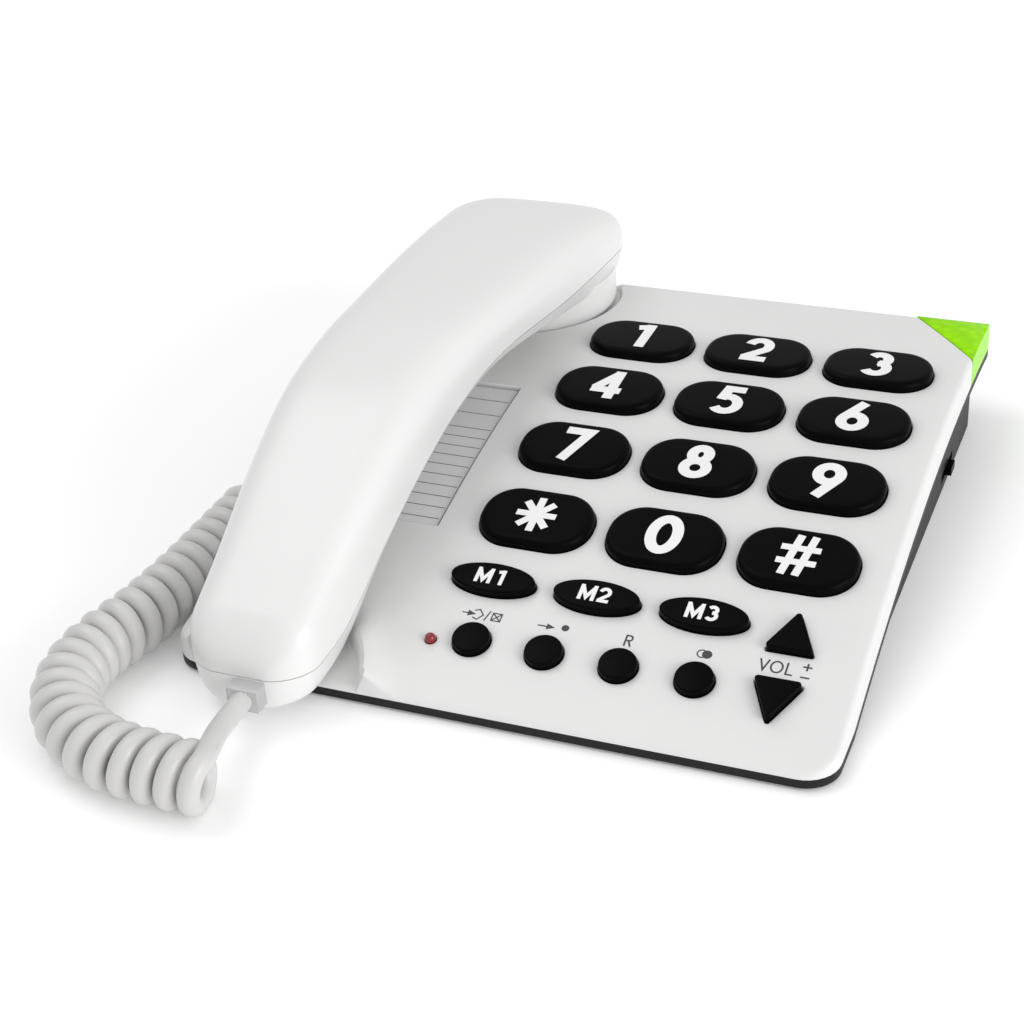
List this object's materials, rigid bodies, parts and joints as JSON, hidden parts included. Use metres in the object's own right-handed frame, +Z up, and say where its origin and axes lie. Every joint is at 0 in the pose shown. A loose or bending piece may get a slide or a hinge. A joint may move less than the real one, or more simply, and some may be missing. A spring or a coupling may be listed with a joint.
{
  "type": "desk telephone",
  "caption": "Corded desk telephone with large black keys on a white wedge case, a handset in its cradle, a lime corner lamp and a curly cord.",
  "frame": {"origin": "on the table, under the centre of the box of the base and the handset", "axes": "+X to the right of a person using it, +Y to the rear, +Z up"},
  "size_m": [0.18, 0.2389, 0.0561],
  "materials": {
    "white_shell": "satin white moulded ABS",
    "handset_white": "glossy satin white moulded ABS",
    "case_grey": "dark grey textured ABS",
    "key_black": "fine textured black",
    "lens_green": "translucent lime green acrylic",
    "card_paper": "ruled white card",
    "clear_cover": "clear polished",
    "lamp_red": "red tinted epoxy",
    "lamp_clear": "clear epoxy",
    "mat_rubber": "grey silicone",
    "board_green": "solder mask",
    "switch_black": "moulded black",
    "foot_rubber": "matte rubber",
    "screw_steel": "zinc plated",
    "capsule_metal": "pressed can",
    "foam_grey": "soft gasket",
    "weight_steel": "raw steel",
    "plug_clear": "clear polycarbonate",
    "cord_white": "smooth white PVC"
  },
  "bodies": {
    "base": {"upper_case": "white_shell", "lower_case": "case_grey", "corner_lens": "lens_green", "lens_lamp": "lamp_clear", "index_card": "card_paper", "card_cover": "clear_cover", "led_indicator": "lamp_red", "keypad_mat": "mat_rubber", "main_board": "board_green", "hook_switch": "switch_black", "sounder": "capsule_metal", "ringer_switch": "switch_black", "rubber_feet": "foot_rubber", "case_screws": "screw_steel", "line_jack": "switch_black", "cord_jack": "switch_black", "base_plug": "plug_clear", "cord_lead_handset": "cord_white", "cord_coil": "cord_white", "cord_lead_base": "cord_white"},
    "handset": {"handset_back_shell": "handset_white", "handset_front_shell": "handset_white", "receiver_gasket": "foam_grey", "receiver_capsule": "capsule_metal", "microphone_boot": "foam_grey", "microphone_capsule": "capsule_metal", "handset_weight": "weight_steel", "handset_jack": "switch_black", "handset_screws": "screw_steel", "handset_plug": "plug_clear"},
    "hook_plunger": {"hook_plunger": "white_shell"},
    "ringer_switch_knob": {"ringer_switch_knob": "key_black"},
    "key_1": {"key_1": "key_black"},
    "key_2": {"key_2": "key_black"},
    "key_3": {"key_3": "key_black"},
    "key_4": {"key_4": "key_black"},
    "key_5": {"key_5": "key_black"},
    "key_6": {"key_6": "key_black"},
    "key_7": {"key_7": "key_black"},
    "key_8": {"key_8": "key_black"},
    "key_9": {"key_9": "key_black"},
    "key_star": {"key_star": "key_black"},
    "key_0": {"key_0": "key_black"},
    "key_hash": {"key_hash": "key_black"},
    "memory_key_1": {"memory_key_1": "key_black"},
    "memory_key_2": {"memory_key_2": "key_black"},
    "memory_key_3": {"memory_key_3": "key_black"},
    "store_key": {"store_key": "key_black"},
    "redial_key": {"redial_key": "key_black"},
    "recall_key": {"recall_key": "key_black"},
    "mute_key": {"mute_key": "key_black"},
    "volume_up_key": {"volume_up_key": "key_black"},
    "volume_down_key": {"volume_down_key": "key_black"}
  },
  "joints": [
    {"name": "key_1_press", "type": "slide", "parent": "base", "child": "key_1", "axis": [0, 0.0076, -1], "range_m": [0, 0.0018], "stiffness_N_per_m": 400, "springref_m": -0.001},
    {"name": "key_2_press", "type": "slide", "parent": "base", "child": "key_2", "axis": [0, 0.0076, -1], "range_m": [0, 0.0018], "stiffness_N_per_m": 400, "springref_m": -0.001},
    {"name": "key_3_press", "type": "slide", "parent": "base", "child": "key_3", "axis": [0, 0.0076, -1], "range_m": [0, 0.0018], "stiffness_N_per_m": 400, "springref_m": -0.001},
    {"name": "key_4_press", "type": "slide", "parent": "base", "child": "key_4", "axis": [0, 0.0764, -0.9971], "range_m": [0, 0.0018], "stiffness_N_per_m": 400, "springref_m": -0.001},
    {"name": "key_5_press", "type": "slide", "parent": "base", "child": "key_5", "axis": [0, 0.0764, -0.9971], "range_m": [0, 0.0018], "stiffness_N_per_m": 400, "springref_m": -0.001},
    {"name": "key_6_press", "type": "slide", "parent": "base", "child": "key_6", "axis": [0, 0.0764, -0.9971], "range_m": [0, 0.0018], "stiffness_N_per_m": 400, "springref_m": -0.001},
    {"name": "key_7_press", "type": "slide", "parent": "base", "child": "key_7", "axis": [0, 0.1449, -0.9894], "range_m": [0, 0.0018], "stiffness_N_per_m": 400, "springref_m": -0.001},
    {"name": "key_8_press", "type": "slide", "parent": "base", "child": "key_8", "axis": [0, 0.1449, -0.9894], "range_m": [0, 0.0018], "stiffness_N_per_m": 400, "springref_m": -0.001},
    {"name": "key_9_press", "type": "slide", "parent": "base", "child": "key_9", "axis": [0, 0.1449, -0.9894], "range_m": [0, 0.0018], "stiffness_N_per_m": 400, "springref_m": -0.001},
    {"name": "key_star_press", "type": "slide", "parent": "base", "child": "key_star", "axis": [0, 0.2127, -0.9771], "range_m": [0, 0.0018], "stiffness_N_per_m": 400, "springref_m": -0.001},
    {"name": "key_0_press", "type": "slide", "parent": "base", "child": "key_0", "axis": [0, 0.2127, -0.9771], "range_m": [0, 0.0018], "stiffness_N_per_m": 400, "springref_m": -0.001},
    {"name": "key_hash_press", "type": "slide", "parent": "base", "child": "key_hash", "axis": [0, 0.2127, -0.9771], "range_m": [0, 0.0018], "stiffness_N_per_m": 400, "springref_m": -0.001},
    {"name": "memory_key_1_press", "type": "slide", "parent": "base", "child": "memory_key_1", "axis": [0, 0.2648, -0.9643], "range_m": [0, 0.0012], "stiffness_N_per_m": 400, "springref_m": -0.001},
    {"name": "memory_key_2_press", "type": "slide", "parent": "base", "child": "memory_key_2", "axis": [0, 0.2648, -0.9643], "range_m": [0, 0.0012], "stiffness_N_per_m": 400, "springref_m": -0.001},
    {"name": "memory_key_3_press", "type": "slide", "parent": "base", "child": "memory_key_3", "axis": [0, 0.2648, -0.9643], "range_m": [0, 0.0012], "stiffness_N_per_m": 400, "springref_m": -0.001},
    {"name": "store_key_press", "type": "slide", "parent": "base", "child": "store_key", "axis": [0, 0.2901, -0.957], "range_m": [0, 0.0009], "stiffness_N_per_m": 400, "springref_m": -0.001},
    {"name": "redial_key_press", "type": "slide", "parent": "base", "child": "redial_key", "axis": [0, 0.2901, -0.957], "range_m": [0, 0.0009], "stiffness_N_per_m": 400, "springref_m": -0.001},
    {"name": "recall_key_press", "type": "slide", "parent": "base", "child": "recall_key", "axis": [0, 0.2901, -0.957], "range_m": [0, 0.0009], "stiffness_N_per_m": 400, "springref_m": -0.001},
    {"name": "mute_key_press", "type": "slide", "parent": "base", "child": "mute_key", "axis": [0, 0.2901, -0.957], "range_m": [0, 0.0009], "stiffness_N_per_m": 400, "springref_m": -0.001},
    {"name": "volume_up_key_press", "type": "slide", "parent": "base", "child": "volume_up_key", "axis": [0, 0.2792, -0.9602], "range_m": [0, 0.0009], "stiffness_N_per_m": 400, "springref_m": -0.001},
    {"name": "volume_down_key_press", "type": "slide", "parent": "base", "child": "volume_down_key", "axis": [0, 0.2901, -0.957], "range_m": [0, 0.0009], "stiffness_N_per_m": 400, "springref_m": -0.001},
    {"name": "handset_lift", "type": "slide", "parent": "base", "child": "handset", "axis": [0, 0, 1], "range_m": [0, 0.08]},
    {"name": "hook_plunger_rise", "type": "slide", "parent": "base", "child": "hook_plunger", "axis": [0, 0, 1], "range_m": [0, 0.004]},
    {"name": "ringer_switch_slide", "type": "slide", "parent": "base", "child": "ringer_switch_knob", "axis": [0, 1, 0], "range_m": [-0.004, 0.004]}
  ],
  "couplings": [
    {"joint": "hook_plunger_rise", "follows": "handset_lift", "ratio": 0.05}
  ]
}
